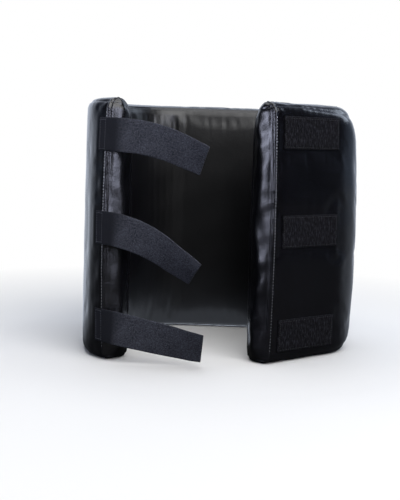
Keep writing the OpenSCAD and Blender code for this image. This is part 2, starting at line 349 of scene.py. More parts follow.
def slab_walk(pad, s):
    """Place, direction and roll at distances s along the outer face.

    The direction turns evenly along each curl, and is smoothed where a curl meets a straight run. The place
    is the sum of the headings, shifted so that the left fold is where the frame has it.
    """
    runs = np.array(slab_runs(pad))
    marks = np.concatenate([[0], np.cumsum(runs[:, 0])])
    turns = np.concatenate([[0], np.cumsum(runs[:, 1])]) - pad.left_turn
    rolls = np.concatenate([[END_ROLL], runs[:, 2]])
    walk = np.linspace(0, marks[-1], 4001)
    turn = smoothed(np.interp(walk, marks, turns), walk[1], pad.curl_blend)
    roll = smoothed(np.interp(walk, marks, rolls), walk[1], 2 * pad.curl_blend)
    way = heading(turn)
    place = np.concatenate([np.zeros((1, 2)), np.cumsum((way[1:] + way[:-1]) / 2 * walk[1], 0)])

    def place_at(q):
        """Places at distances along the summed walk."""
        return np.stack([np.interp(q, walk, axis) for axis in place.T], -1)

    shift = np.array([-pad.half_width, pad.fold_y]) - place_at(slab_marks(pad)[:1])
    return place_at(s) + shift, np.interp(s, walk, turn), np.interp(s, walk, roll)


def face_depth(pad, z):
    """Depth of the crowned outer face at a height, negative outwards."""
    low, high = pad.bottom_round, pad.height - pad.top_round
    return -pad.crown * swell((z - low) / (high - low))


def side_outline(pad, roll, inset, is_outer, counts):
    """One side of the section, from the bottom flat to the top flat.

    It is a quarter ellipse, a crowned face and a quarter ellipse, with points close-set about the seams at
    the middle of both roundings. A roll widens the outer roundings, and a negative one the inner top rounding.
    """
    q = np.linspace(-1, 1, counts.arc + 1)
    arc = (np.sign(q) * np.abs(q) ** 1.3 + 1) * math.pi / 4
    t = np.linspace(0, 1, counts.face + 1)[1:-1]
    share = np.asarray(roll, float)[:, None]
    roll = np.maximum(share, 0) if is_outer else 0 * share
    fall = 0 * share if is_outer else np.maximum(-share, 0)
    inset = np.asarray(inset, float)[:, None]
    under = between(pad.bottom_round, pad.tuck_in, roll)
    low = between(pad.bottom_round, pad.tuck_up, roll)
    deep = between(pad.top_round, pad.roll_in, roll) + (pad.end_in - pad.top_round) * fall
    high = between(pad.top_round, pad.roll_down, roll) + (pad.end_down - pad.top_round) * fall
    crown = pad.crown if is_outer else pad.inner_crown
    x = [
        under - (under - inset) * np.sin(arc),
        inset - crown * swell(t) + 0 * roll,
        deep - (deep - inset) * np.sin(arc[::-1]),
    ]
    z = [
        low - (low - inset) * np.cos(arc),
        low + (pad.height - high - low) * t,
        pad.height - high + (high - inset) * np.cos(arc[::-1]),
    ]
    x, z = np.concatenate(x, 1), np.concatenate(z, 1)
    return (x, z) if is_outer else (pad.thickness - x, z)


def narrow_steps(n):
    """Places across a narrow side from 0 to 1, close-set at both edges as on a half circle."""
    return 0.5 - 0.5 * np.cos(np.linspace(0, math.pi, n + 1))


def section_loop(pad, roll, inset, counts):
    """The closed section: up the outer side, across the top, down the inner side and back along the bottom."""
    t = narrow_steps(counts.flat)[1:-1]
    xo, zo = side_outline(pad, roll, inset, True, counts)
    xi, zi = side_outline(pad, roll, inset, False, counts)
    plump = 0.0010 * swell(t)
    top, bottom = slice(-1, None), slice(0, 1)
    x = [xo, between(xo[:, top], xi[:, top], t), xi[:, ::-1], between(xi[:, bottom], xo[:, bottom], t)]
    z = [zo, between(zo[:, top], zi[:, top], t) + plump, zi[:, ::-1], between(zi[:, bottom], zo[:, bottom], t)]
    return np.concatenate(x, 1), np.concatenate(z, 1)


def section_arc(pad, counts):
    """Distance round the plain section at each of its points, and the whole way round."""
    x, z = section_loop(pad, np.zeros(1), np.zeros(1), counts)
    outline = np.stack([x[0], z[0]], 1)
    way = np.cumsum(np.linalg.norm(np.roll(outline, -1, 0) - outline, axis=1))
    return np.concatenate([[0], way[:-1]]), way[-1]


def place_section(pad, s, x, z):
    """Section points carried along the slab: place plus depth times the inward direction, at their height.

    Past the left end the outer side is pressed flatter, by a parabola over the height that fades to the fold.
    """
    place, turn, _ = slab_walk(pad, s)
    start, growth, fade = 0.022, 0.045, 0.10
    press = pad.left_press * ease((s - start) / growth) * (1 - ease((s - slab_marks(pad)[0]) / fade))
    x = x + press[:, None] * swell(z / pad.height) * np.clip(1 - x / pad.thickness, 0, 1)
    return raised(place[:, None, :] + x[:, :, None] * inward(turn)[:, None, :], z)


def ring_quads(rows, columns):
    """Quads of a tube of points numbered row by row, each row closed."""
    i = np.arange(rows - 1)[:, None] * columns
    j = np.arange(columns)[None, :]
    k = (j + 1) % columns
    return np.stack([i + j, i + k, i + columns + k, i + columns + j], -1).reshape(-1, 4)


def strip_quads(n, top):
    """Quads across a closed outline, between its points p and top - p for p up to n."""
    p = np.arange(n)
    return np.stack([p, p + 1, top - p - 1, top - p], 1)


def at_both_ends(rows, columns, faces):
    """Faces of one section of a tube, as both its ends."""
    return np.concatenate([faces[:, ::-1], (rows - 1) * columns + faces])


def volume_sign(points, quads):
    """Sign of the volume inside a closed set of quads, by summed triple products."""
    a, b, c, d = (points[quads[:, k]] for k in range(4))
    return np.sign((a * (np.cross(b, c) + np.cross(c, d))).sum())


def new_mesh(name, points, quads, *finishes, triangles=np.zeros((0, 3), int), smooth=True):
    """A mesh object at the origin from whole arrays, turned outwards by the sign of its volume."""
    if volume_sign(points, quads) < 0:
        quads, triangles = quads[:, ::-1], triangles[:, ::-1]
    mesh = bpy.data.meshes.new(name)
    mesh.from_pydata(points.tolist(), [], quads.tolist() + triangles.tolist())
    mesh.polygons.foreach_set("use_smooth", np.broadcast_to(smooth, len(mesh.polygons)).astype(bool))
    for finish in finishes:
        mesh.materials.append(finish)
    mesh.update()
    piece = bpy.data.objects.new(name, mesh)
    bpy.context.scene.collection.objects.link(piece)
    return piece


def set_uv(piece, uv):
    """Give each corner the map place of its point."""
    layer = piece.data.uv_layers.new(name="cloth")
    index = np.empty(len(piece.data.loops), np.int32)
    piece.data.loops.foreach_get("vertex_index", index)
    layer.data.foreach_set("uv", uv[index].astype(np.float32).ravel())


def set_field(piece, name, values):
    """Give each point a number that its material reads."""
    field = piece.data.attributes.new(name, "FLOAT", "POINT")
    field.data.foreach_set("value", np.asarray(values, np.float32))


def outward_normals(points, turn, counts):
    """Unit cross product of the differences along and round a cover, away from its inside."""
    across = np.roll(points, -1, 1) - np.roll(points, 1, 1)
    normal = np.cross(across, np.gradient(points, axis=0))
    normal = normal / np.maximum(np.linalg.norm(normal, axis=2, keepdims=True), 1e-12)
    is_inside_out = (normal[:, counts.side // 2, :2] * inward(turn)).sum() > 0
    return -normal if is_inside_out else normal


def bend_at_fold(piece):
    """Bake a piece's placement into its mesh, leaving it at the origin."""
    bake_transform(piece)


def add_node(tree, kind, **values):
    """A shader node with the given attributes, and inputs by their names with spaces as underscores."""
    node = tree.nodes.new(kind)
    for key, value in values.items():
        name = key.replace("_", " ")
        if name in node.inputs:
            node.inputs[name].default_value = value
        else:
            setattr(node, key, value)
    return node


def new_finish(name, base, **values):
    """A material with one surface shader whose even values are set on its own sockets."""
    material = bpy.data.materials.new(name)
    material.use_nodes = True
    tree = material.node_tree
    shader = tree.nodes["Principled BSDF"]
    shader.inputs["Base Color"].default_value = (*base, 1)
    for key, value in values.items():
        shader.inputs[key.replace("_", " ")].default_value = value
    return material, tree, shader


def scaled(base, share):
    """A colour times a share, held at 1."""
    return tuple(min(1, c * share) for c in base)


def ramp(tree, source, low, high, value_low, value_high):
    """Map a value from one range to another, held at both ends."""
    ranges = {"From_Min": low, "From_Max": high, "To_Min": value_low, "To_Max": value_high}
    node = add_node(tree, "ShaderNodeMapRange", **ranges)
    tree.links.new(source, node.inputs["Value"])
    return node.outputs["Result"]


def mix_colours(tree, factor, a, b):
    """Mix two colours, each a socket or a tuple, by a socket."""
    node = add_node(tree, "ShaderNodeMix", data_type="RGBA")
    tree.links.new(factor, node.inputs[0])
    for index, value in ((6, a), (7, b)):
        if isinstance(value, bpy.types.NodeSocket):
            tree.links.new(value, node.inputs[index])
        else:
            node.inputs[index].default_value = (*value, 1)
    return node.outputs[2]


def combine(tree, operation, a, b):
    """One value from two sockets."""
    node = add_node(tree, "ShaderNodeMath", operation=operation)
    tree.links.new(a, node.inputs[0])
    tree.links.new(b, node.inputs[1])
    return node.outputs[0]


def vector_math(tree, operation, vector, output="Value", other=(0.0, 0.0, 0.0)):
    """A value or vector worked out from a vector, and for some operations another one."""
    node = add_node(tree, "ShaderNodeVectorMath", operation=operation)
    tree.links.new(vector, node.inputs[0])
    node.inputs[1].default_value = other
    return node.outputs[output]


def axis_of(tree, vector, name):
    """One axis of a vector."""
    node = add_node(tree, "ShaderNodeSeparateXYZ")
    tree.links.new(vector, node.inputs[0])
    return node.outputs[name]


def texture(tree, kind, vector, output, **values):
    """One output of a texture on the given coordinates."""
    node = add_node(tree, f"ShaderNodeTex{kind}", **values)
    tree.links.new(vector, node.inputs["Vector"])
    return node.outputs[output]


def noise(tree, vector, scale, detail=3.0, rough=0.55):
    """A noise value on the given coordinates."""
    return texture(tree, "Noise", vector, "Fac", Scale=scale, Detail=detail, Roughness=rough)


def bands(tree, vector, direction, scale, **values):
    """Waves in straight bands on the given coordinates."""
    values = {"wave_type": "BANDS", "bands_direction": direction, "Scale": scale, **values}
    return texture(tree, "Wave", vector, "Fac", **values)


def object_places(tree):
    """Coordinates in metres in the frame."""
    return add_node(tree, "ShaderNodeTexCoord").outputs["Object"]


def cloth_places(tree):
    """Coordinates in metres on the piece's own map."""
    return add_node(tree, "ShaderNodeUVMap", uv_map="cloth").outputs["UV"]


def dress(tree, shader, tone, layers):
    """Give the shader its colour, and a chain of bumps of (height socket, strength, distance)."""
    tree.links.new(tone, shader.inputs["Base Color"])
    last = None
    for height, strength, distance in layers:
        node = add_node(tree, "ShaderNodeBump", Strength=strength, Distance=distance)
        tree.links.new(height, node.inputs["Height"])
        if last is not None:
            tree.links.new(last, node.inputs["Normal"])
        last = node.outputs["Normal"]
    tree.links.new(last, shader.inputs["Normal"])


def vinyl_finish(name, base, gloss, worn):
    """Coated vinyl: a pebbled grain of cells, faint creases, uneven gloss, and wear along the seams."""
    material, tree, shader = new_finish(name, base, Roughness=gloss, IOR=1.5)
    at = object_places(tree)
    cells = texture(tree, "Voronoi", at, "Distance", feature="F1", Scale=620.0, Randomness=1.0)
    patches = noise(tree, at, 14.0)
    fine = noise(tree, at, 230.0, 4.0)
    creases = noise(tree, at, 70.0, 5.0, 0.6)
    seam = add_node(tree, "ShaderNodeAttribute", attribute_name="seam").outputs["Fac"]
    dusty = combine(tree, "MULTIPLY", seam, ramp(tree, fine, 0.35, 0.65, 0.2, 1.0))
    tone = mix_colours(tree, ramp(tree, patches, 0.3, 0.7, 0, 1), scaled(base, 0.8), scaled(base, 1.25))
    tree.links.new(ramp(tree, patches, 0.25, 0.75, gloss - 0.02, gloss + 0.04), shader.inputs["Roughness"])
    layers = [(creases, 0.10, 0.002), (cells, 0.16, 0.0004), (fine, 0.08, 0.0005)]
    dress(tree, shader, mix_colours(tree, dusty, tone, worn), layers)
    return material


def foam_finish(name, base, cell):
    """Foam: open cells over a matt base with uneven tone."""
    material, tree, shader = new_finish(name, base, Roughness=0.9)
    cells = texture(tree, "Voronoi", object_places(tree), "Distance", feature="F1", Scale=cell)
    tone = mix_colours(tree, ramp(tree, cells, 0.0, 0.6, 0.0, 1.0), scaled(base, 0.7), base)
    dress(tree, shader, tone, [(cells, 0.5, 0.0006)])
    return material


def weave_finish(name, base):
    """Woven tape: ribs across, warp threads along, flecks, and painted shade over the sewn tail and stub that
    fades past the crease.
    """
    matt = {"Roughness": 0.86, "Specular_IOR_Level": 0.12, "Sheen_Weight": 0.01, "Sheen_Roughness": 0.5}
    material, tree, shader = new_finish(name, base, **matt)
    at = cloth_places(tree)
    uneven = {"Detail": 2.0, "Detail_Scale": 2.0}
    ribs = bands(tree, at, "X", 190.0, Distortion=1.2, **uneven)
    threads = bands(tree, at, "Y", 310.0, Distortion=1.0, **uneven)
    weave = combine(tree, "MULTIPLY", ribs, threads)
    flecks = noise(tree, at, 620.0, 3.0)
    nap = noise(tree, at, 330.0, 4.0, 0.7)
    cloudy = noise(tree, at, 42.0, 3.0)
    deep, pale = scaled(base, 0.30), scaled(base, 2.4)
    tone = mix_colours(tree, ramp(tree, weave, 0.05, 0.7, 0, 0.5), scaled(base, 0.8), pale)
    tone = mix_colours(tree, ramp(tree, nap, 0.38, 0.60, 0.9, 0.0), tone, deep)
    tone = mix_colours(tree, ramp(tree, cloudy, 0.42, 0.68, 0.0, 0.16), tone, pale)
    tone = mix_colours(tree, ramp(tree, flecks, 0.56, 0.70, 0, 0.8), tone, pale)
    # Painted shade: the sewn tail and stub are darkened towards the deep tone, in place of the stub facing away
    # from the light.
    sewn = ramp(tree, axis_of(tree, at, "X"), 0.020, 0.040, 0.9, 0.0)
    dress(tree, shader, mix_colours(tree, sewn, tone, deep), [(weave, 0.55, 0.0004), (flecks, 0.25, 0.0002)])
    return material


def pile_finish(name, base):
    """Brushed loops: fibre noise in two sizes with lint, dark between the loops, and a soft sheen."""
    matt = {"Roughness": 0.95, "Specular_IOR_Level": 0.04, "Sheen_Weight": 0.004, "Sheen_Roughness": 0.6}
    material, tree, shader = new_finish(name, base, **matt)
    at = cloth_places(tree)
    brushed = add_node(tree, "ShaderNodeMapping", Scale=(1.0, 0.3, 1.0))
    tree.links.new(at, brushed.inputs["Vector"])
    loops = noise(tree, at, 520.0, 4.0, 0.7)
    tufts = noise(tree, brushed.outputs[0], 420.0, 4.0, 0.6)
    tone = mix_colours(tree, ramp(tree, loops, 0.35, 0.65, 0, 1), scaled(base, 0.3), scaled(base, 1.3))
    tone = mix_colours(tree, ramp(tree, tufts, 0.48, 0.62, 0, 1.0), tone, scaled(base, 3.0))
    tone = mix_colours(tree, ramp(tree, loops, 0.66, 0.74, 0, 0.5), tone, scaled(base, 7))
    dress(tree, shader, tone, [(tufts, 0.5, 0.0012), (loops, 0.8, 0.0008)])
    return material


def hook_finish(name, base):
    """Moulded hooks: rows of fine studs in matt plastic."""
    material, tree, shader = new_finish(name, base, Roughness=0.55)
    at = cloth_places(tree)
    studs = texture(tree, "Voronoi", at, "Distance", feature="F1", Scale=620.0, Randomness=0.15)
    tall = ramp(tree, studs, 0.1, 0.5, 1.0, 0.0)
    dress(tree, shader, mix_colours(tree, tall, scaled(base, 0.5), scaled(base, 1.8)), [(tall, 0.9, 0.0007)])
    return material


def thread_finish(name, base, low_shade=0.0):
    """Twisted thread: fine slanting bands, uneven tone, and a share of painted shade that grows towards the
    floor.
    """
    material, tree, shader = new_finish(name, base, Roughness=0.6)
    at = object_places(tree)
    twist = bands(tree, at, "DIAGONAL", 420.0, Distortion=0.6)
    tone = mix_colours(tree, twist, scaled(base, 0.6), scaled(base, 1.2))
    tone = mix_colours(tree, ramp(tree, noise(tree, at, 90.0), 0.4, 0.7, 0, 0.6), tone, scaled(base, 0.45))
    # Painted shade: the thread darkens towards the floor, in place of less light falling low on the pad.
    low = ramp(tree, axis_of(tree, at, "Z"), 0.05, 0.32, low_shade, 0.0)
    dress(tree, shader, mix_colours(tree, low, tone, scaled(base, 0.06)), [(twist, 0.4, 0.0002)])
    return material


def cover_stations(pad, step):
    """Distances along the left and right halves, close-set at the sewn ends and meeting at the far middle."""
    _, middle, end = slab_marks(pad)
    near = np.array([0, 0.5, 1.0, 1.6, 2.3, 3.1, 4.0, 5.2, 6.6, 8.2, 10.0, 12.0, 14.2]) / 1000
    left = np.linspace(near[-1], middle, int(round((middle - near[-1]) / step)) + 1)[1:]
    right = np.linspace(middle, end - near[-1], int(round((end - near[-1] - middle) / step)) + 1)[:-1]
    return np.concatenate([near, left]), np.concatenate([right, end - near[::-1]])


def seam_columns(counts):
    """Numbers of the four section points that the long seams run along, at the middle of each rounding."""
    over = counts.arc + counts.face
    return [first + counts.arc // 2 for first in (0, over, counts.inner, counts.inner + over)]


def carry_weights(coarse, fine):
    """Catmull-Rom weights that carry values from coarse places to fine ones, one row to each fine place."""
    i = np.clip(np.searchsorted(coarse, fine) - 1, 0, len(coarse) - 2)
    t = np.clip((fine - coarse[i]) / (coarse[i + 1] - coarse[i]), 0, 1)
    share = np.stack([-t + 2 * t**2 - t**3, 2 - 5 * t**2 + 3 * t**3, t + 4 * t**2 - 3 * t**3, t**3 - t**2]) / 2
    weights = np.zeros((len(fine), len(coarse)))
    for k in range(4):
        np.add.at(weights, (np.arange(len(fine)), np.clip(i + k - 1, 0, len(coarse) - 1)), share[k])
    return weights


def middle_height(node):
    """Height of the middle of a node's box."""
    low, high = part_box(node)
    return (low[2] + high[2]) / 2


def sewn_down(scene, s, z):
    """Where a strap's tail or a loop patch holds the outer face, with a margin of one cloth step."""
    strap, patch = scene.kick_pad_straps, scene.kick_pad_patches
    end = slab_marks(scene.kick_pad_slab)[2]
    margin = 0.008
    held = np.zeros(z.shape, bool)
    for name in STRAPS:
        for node, width, start, stop in (
            ("strap_anchor", strap.width, 0, strap.sewn),
            ("loop_patch", patch.width, end - patch.inset - patch.length, end - patch.inset),
        ):
            beside = np.abs(z - middle_height(f"{name}_{node}")) <= width / 2 + margin
            held |= beside & ((s >= start - margin) & (s <= stop + margin))[:, None]
    return held


def blown_up(context, points, held):
    """Places of a net of points after it is held at some of them and blown up as cloth by a light pressure."""
    rows, columns = points.shape[:2]
    net = new_mesh("cover_net", points.reshape(-1, 3), ring_quads(rows, columns))
    group = net.vertex_groups.new(name="held")
    group.add(np.flatnonzero(held.ravel()).tolist(), 1.0, "REPLACE")
    cloth = net.modifiers.new("swelling", "CLOTH").settings
    for key, value in CLOTH.items():
        setattr(cloth, key, value)
    cloth.effector_weights.gravity = 0
    for number in range(1, CLOTH_FRAMES + 1):
        context.scene.frame_set(number)
    shown = net.evaluated_get(context.evaluated_depsgraph_get())
    place = np.empty(points.size)
    shown.data.vertices.foreach_get("co", place)
    context.scene.frame_set(1)
    bpy.data.objects.remove(net)
    return place.reshape(points.shape)


def swollen_cover(context, pad):
    """How the cover moves when its padding swells it, as (distances, section shares, moves).

    A coarse net of the whole cover is held along its seams, ends and sewn places, and blown up. Each move is
    split into a part along the normal, eased to a millimetre or so by a tanh, and the rest, eased likewise.
    """
    counts = COVER_COARSE
    s = np.linspace(0, slab_marks(pad)[2], CLOTH_ROWS)
    _, turn, roll = slab_walk(pad, s)
    points = place_section(pad, s, *section_loop(pad, roll, np.full(len(s), COVER_INSET), counts))
    arc, whole = section_arc(pad, counts)
    held = np.zeros(points.shape[:2], bool)
    held[:, seam_columns(counts)] = True
    held[[0, -1]] = True
    held[:, : counts.side] |= sewn_down(context.scene, s, points[:, : counts.side, 2])
    normal = outward_normals(points, turn, counts)
    moves = blown_up(context, points, held) - points
    out = (moves * normal).sum(2, keepdims=True)
    along = moves - out * normal
    far = np.maximum(np.linalg.norm(along, axis=2, keepdims=True), 1e-9)
    most_out, most_in, most_along = 0.0014, 0.0010, 0.001
    most = np.where(out > 0, most_out, most_in)
    eased = most * np.tanh(out / most) * normal + along / far * most_along * np.tanh(far / most_along)
    return s, arc / whole, eased


def seam_detail(pad, s, counts):
    """Grooves and rolls along the four long seams, with gathers that fade away from them, and their wear."""
    arc, _ = section_arc(pad, counts)
    roll = slab_walk(pad, s)[2][:, None]
    height = np.zeros((len(s), len(arc)))
    wear = np.zeros_like(height)
    for k, index in enumerate(seam_columns(counts)):
        d = np.abs(arc - arc[index])[None, :]
        gather = ripple(s, 0.010, 0.030, 7, 11 + k)[:, None] * (0.00011 + 0.00004 * roll)
        groove, ridge = -0.0008 * bump(d, 0.0012), 0.00035 * bump(d - 0.0034, 0.0022)
        height += groove + ridge
        height += gather * bump(d - 0.004, 0.009)
        wear = np.maximum(wear, bump(d - 0.0022, 0.0016))
    return height, wear


def cover_detail(pad, s, points, counts):
    """Height of the sewn detail over the plain cover, and the wear along its seams.

    On top of the seams it has upright folds inside the bends, a slow unevenness, puckers that fan out from
    the sewn corners, and a roll with gathers along the sewn ends.
    """
    height, wear = seam_detail(pad, s, counts)
    along, up = s[:, None], points[:, :, 2]
    to_end = np.minimum(s, slab_marks(pad)[2] - s)[:, None]

    # Upright folds inside the bends, deepest near the top and bottom edges.
    turning = np.abs(np.gradient(slab_walk(pad, s)[1], s))
    turning = np.convolve(np.pad(turning, 8, mode="edge"), np.ones(17) / 17, "valid")[:, None]
    is_inner = np.zeros(height.shape[1])
    is_inner[counts.inner + counts.arc : counts.inner + counts.arc + counts.face + 1] = 1
    edge = 0.35 + 0.65 * np.maximum(bump(up - pad.height, 0.10), bump(up, 0.06))
    fold = ripple(s, 0.016, 0.042, 9, 31)[:, None] + 0.3 * ripple(along + 0.10 * up, 0.03, 0.09, 6, 33)
    height += -0.0011 * np.maximum(fold, -0.4) * edge * is_inner * np.clip(turning * 0.05, 0, 0.6)

    # A slow unevenness that slants both ways.
    height += 0.00035 * ripple(along + 0.35 * up, 0.10, 0.23, 6, 41) * (to_end > 0.02)
    height += 0.00030 * ripple(up - 0.4 * along, 0.07, 0.19, 6, 43)

    # Puckers that fan out from the sewn corners.
    for corner in (0.0, pad.height):
        away = np.hypot(to_end, up - corner)
        spoke = np.arctan2(to_end, np.abs(up - corner) + 1e-6)
        height += 0.0004 * np.sin(9 * spoke + 1.3) * bump(away - 0.018, 0.012)

    # A roll with gathers along the sewn ends.
    height += 0.0006 * bump(to_end - 0.0022, 0.0012) - 0.0003 * bump(to_end - 0.0056, 0.0018)
    height += ripple(up, 0.010, 0.026, 8, 51) * 0.00022 * bump(to_end - 0.005, 0.008)
    return height, np.maximum(wear, bump(to_end - 0.0022, 0.0016))


def end_grid(ring, counts):
    """A flat grid across a section, from its outer to its inner side."""
    outer = ring[: counts.side, None]
    inner = ring[counts.inner : counts.inner + counts.side, None][::-1]
    return between(outer, inner, narrow_steps(counts.flat)[None, :, None])


def end_join(counts):
    """For each point of an end grid, the number of the section point that it shares, or -1 inside."""
    side, inner = np.arange(counts.side), np.arange(1, counts.flat)
    join = np.full((counts.side, counts.flat + 1), -1)
    join[:, 0] = side
    join[-1, 1:-1] = counts.side - 1 + inner
    join[:, -1] = counts.inner + side[::-1]
    join[0, 1:-1] = counts.inner + counts.side - 1 + inner[::-1]
    return join


def end_dome(pad, ring, ahead, counts, seed):
    """The end gusset over its section, domed along the heading, and its wear.

    The dome rises to an uneven ridge. It carries long upright creases, slanting ones, and puckers at the seam.
    """
    grid = end_grid(ring, counts)
    u, up = narrow_steps(counts.flat)[None, :], grid[:, :, 2]
    breadth = 0.045
    rise = np.minimum(up, pad.height - up) / pad.height
    ends = np.clip(rise / 0.04, 0, 1) ** 0.5
    ridge = 0.5 + 0.09 * ripple(up, 0.07, 0.20, 6, seed + 3)
    slope = np.where(u < ridge, u / ridge, (1 - u) / (1 - ridge))
    blunt, power = 0.12, 1.25
    rim = (1 - np.hypot(1 - slope, blunt) ** power) / (1 - blunt**power) * ends
    from_seam = np.minimum(u, 1 - u)
    edge, wide = from_seam * breadth, breadth * u
    long = np.sin(2 * math.pi * (1.6 * u + 0.4 * ripple(up, 0.12, 0.26, 5, seed)))
    slant = ripple(up + 0.55 * wide, 0.030, 0.080, 9, seed + 1)
    short = ripple(up - 0.8 * wide, 0.012, 0.026, 9, seed + 2)
    height = pad.end_swell * rim + rim * (0.0005 * long + 0.0009 * slant + 0.00026 * short)
    height += ends * (0.0006 * bump(edge - 0.0016, 0.0010) - 0.0004 * bump(edge - 0.0042, 0.0016))
    grid[:, :, :2] += height[:, :, None] * ahead
    return grid, 0.35 * bump(from_seam * pad.thickness - 0.003, 0.002) + 0 * up


def cover_half(pad, s, is_left, counts, moved):
    """One closed half of the cover: its tube, its domed end gusset and a flat cut at the far middle."""
    to_end = np.minimum(s, slab_marks(pad)[2] - s)
    short = np.maximum(pad.end_round - to_end, 0)
    inset = pad.end_round - np.sqrt(np.maximum(pad.end_round**2 - short**2, 0)) + COVER_INSET
    _, turn, roll = slab_walk(pad, s)
    points = place_section(pad, s, *section_loop(pad, roll, inset, counts))
    normal = outward_normals(points, turn, counts)
    points = points + moved
    height, wear = cover_detail(pad, s, points, counts)
    points = points + normal * height[:, :, None]
    points[:, :, 2] = np.clip(points[:, :, 2], 0.0002, None)
    rows, columns = points.shape[:2]
    sewn, cut = (0, rows - 1) if is_left else (rows - 1, 0)
    ahead = -heading(turn[0]) if is_left else heading(turn[-1])
    dome, dome_wear = end_dome(pad, points[sewn], ahead, counts, 61 if is_left else 71)
    flat = end_grid(points[cut], counts)
    join = end_join(counts)
    quads = [ring_quads(rows, columns)]
    for k, row in enumerate((sewn, cut)):
        own = rows * columns + k * join.size + np.arange(join.size).reshape(join.shape)
        number = np.where(join >= 0, row * columns + join, own)
        cap = np.stack([number[:-1, :-1], number[:-1, 1:], number[1:, 1:], number[1:, :-1]], -1).reshape(-1, 4)
        quads.append(cap if (k == 0) == is_left else cap[:, ::-1])
    verts = np.concatenate([grid.reshape(-1, 3) for grid in (points, dome, flat)])
    return verts, quads, np.concatenate([wear.ravel(), dome_wear.ravel(), 0 * dome_wear.ravel()])


def drop_loose(verts, quads, field):
    """Keep only the points that a quad uses, and number the quads anew."""
    used = np.zeros(len(verts), bool)
    used[quads.ravel()] = True
    number = np.cumsum(used) - 1
    return verts[used], number[quads], field[used]


class KICKPAD_OT_cover(bpy.types.Operator):
    """Make both halves of the sewn cover"""

    bl_idname = "kick_pad.cover"
    bl_label = "Cover"

    def execute(self, context):
        pad, finish = context.scene.kick_pad_slab, context.scene.kick_pad_finish
        worn, worn_lining = (0.012, 0.012, 0.015), (0.012, 0.012, 0.014)
        vinyl = vinyl_finish("glossy_vinyl", finish.vinyl, 0.16, worn)
        satin = vinyl_finish("gusset_vinyl", finish.vinyl, 0.24, worn)
        lining = vinyl_finish("lining_vinyl", finish.lining, 0.34, worn_lining)
        counts = COVER_FINE
        lining_from, lining_to = seam_columns(counts)[2:]
        net_s, net_share, moves = swollen_cover(context, pad)
        moves = np.concatenate([moves, moves[:, :1]], 1)
        arc, whole = section_arc(pad, counts)
        round_section = carry_weights(np.append(net_share, 1.0), arc / whole)
        for name, s in zip(("left", "right"), cover_stations(pad, COVER_STEP)):
            along = carry_weights(net_s, s)
            moved = np.einsum("ai,ijk,bj->abk", along, moves, round_section, optimize=True)
            verts, quads, wear = cover_half(pad, s, name == "left", counts, moved)
            tube, dome, cut = (len(q) for q in quads)
            column = np.arange(tube) % (2 * counts.inner)
            is_lining = (column >= lining_from) & (column < lining_to)
            slots = np.concatenate([is_lining.astype(int), np.full(dome, 2), np.zeros(cut, int)])
            smooth = np.arange(tube + dome + cut) < tube + dome
            verts, faces, wear = drop_loose(verts, np.concatenate(quads), wear)
            piece = new_mesh(f"{name}_cover", verts, faces, vinyl, lining, satin, smooth=smooth)
            piece.data.polygons.foreach_set("material_index", slots.astype(np.int32))
            piece.data.set_sharp_from_angle(angle=math.radians(80))
            set_field(piece, "seam", wear)
            nodes = [f"{layer}_{name}" for layer in COVER_LAYERS]
            nodes += [f"{name}_end_gusset", f"{name}_fold_lining"]
            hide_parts(*nodes, *(f"{layer}_front" for layer in COVER_LAYERS))
            bend_at_fold(piece)
        return {"FINISHED"}


def padding_section(pad, roll, is_outer):
    """Section of one foam layer, flat towards the other and drawn in where the cover's edges roll over."""
    inset, most, play = 0.0035, 0.3, 0.0003
    lifted, lowered = 0.010, 0.034
    share = np.clip((np.abs(roll) - most) / (1 - most), 0, 1)[:, None]
    x, z = side_outline(pad, np.clip(roll, -most, most), np.full(len(roll), inset), is_outer, PADDING)
    z = lifted * share + z * (1 - lowered * share / pad.height)
    wall = pad.firm_layer + (-play if is_outer else play)
    x = np.concatenate([x, np.full((len(roll), 3), wall)], 1)
    return x, np.concatenate([z, z[:, [-1]], (z[:, [-1]] + z[:, [0]]) / 2, z[:, [0]]], 1)


class KICKPAD_OT_padding(bpy.types.Operator):
    """Make the firm and soft foam inside the cover"""

    bl_idname = "kick_pad.padding"
    bl_label = "Padding"

    def execute(self, context):
        pad, finish = context.scene.kick_pad_slab, context.scene.kick_pad_finish
        firm = foam_finish("firm_foam", finish.firm_foam, 900.0)
        soft = foam_finish("soft_foam", finish.soft_foam, 1400.0)
        _, middle, end = slab_marks(pad)
        short, play = 0.008, 0.0006
        for name, start, stop in (("left", short, middle - play), ("right", middle + play, end - short)):
            s = np.linspace(start, stop, PADDING_ROWS)
            roll = slab_walk(pad, s)[2]
            for layer, is_outer, foam in (("strike", True, firm), ("backing", False, soft)):
                points = place_section(pad, s, *padding_section(pad, roll, is_outer))
                rows, columns = points.shape[:2]
                caps = at_both_ends(rows, columns, strip_quads(columns // 2 - 1, columns - 1))
                quads = np.concatenate([ring_quads(rows, columns), caps])
                piece = new_mesh(f"{name}_{layer}_padding", points.reshape(-1, 3), quads, foam)
                piece.data.set_sharp_from_angle(angle=math.radians(50))
                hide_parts(f"{layer}_foam_{name}", f"{layer}_foam_front")
                if layer == "backing":
                    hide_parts(f"{name}_fold_foam")
                bend_at_fold(piece)
        return {"FINISHED"}


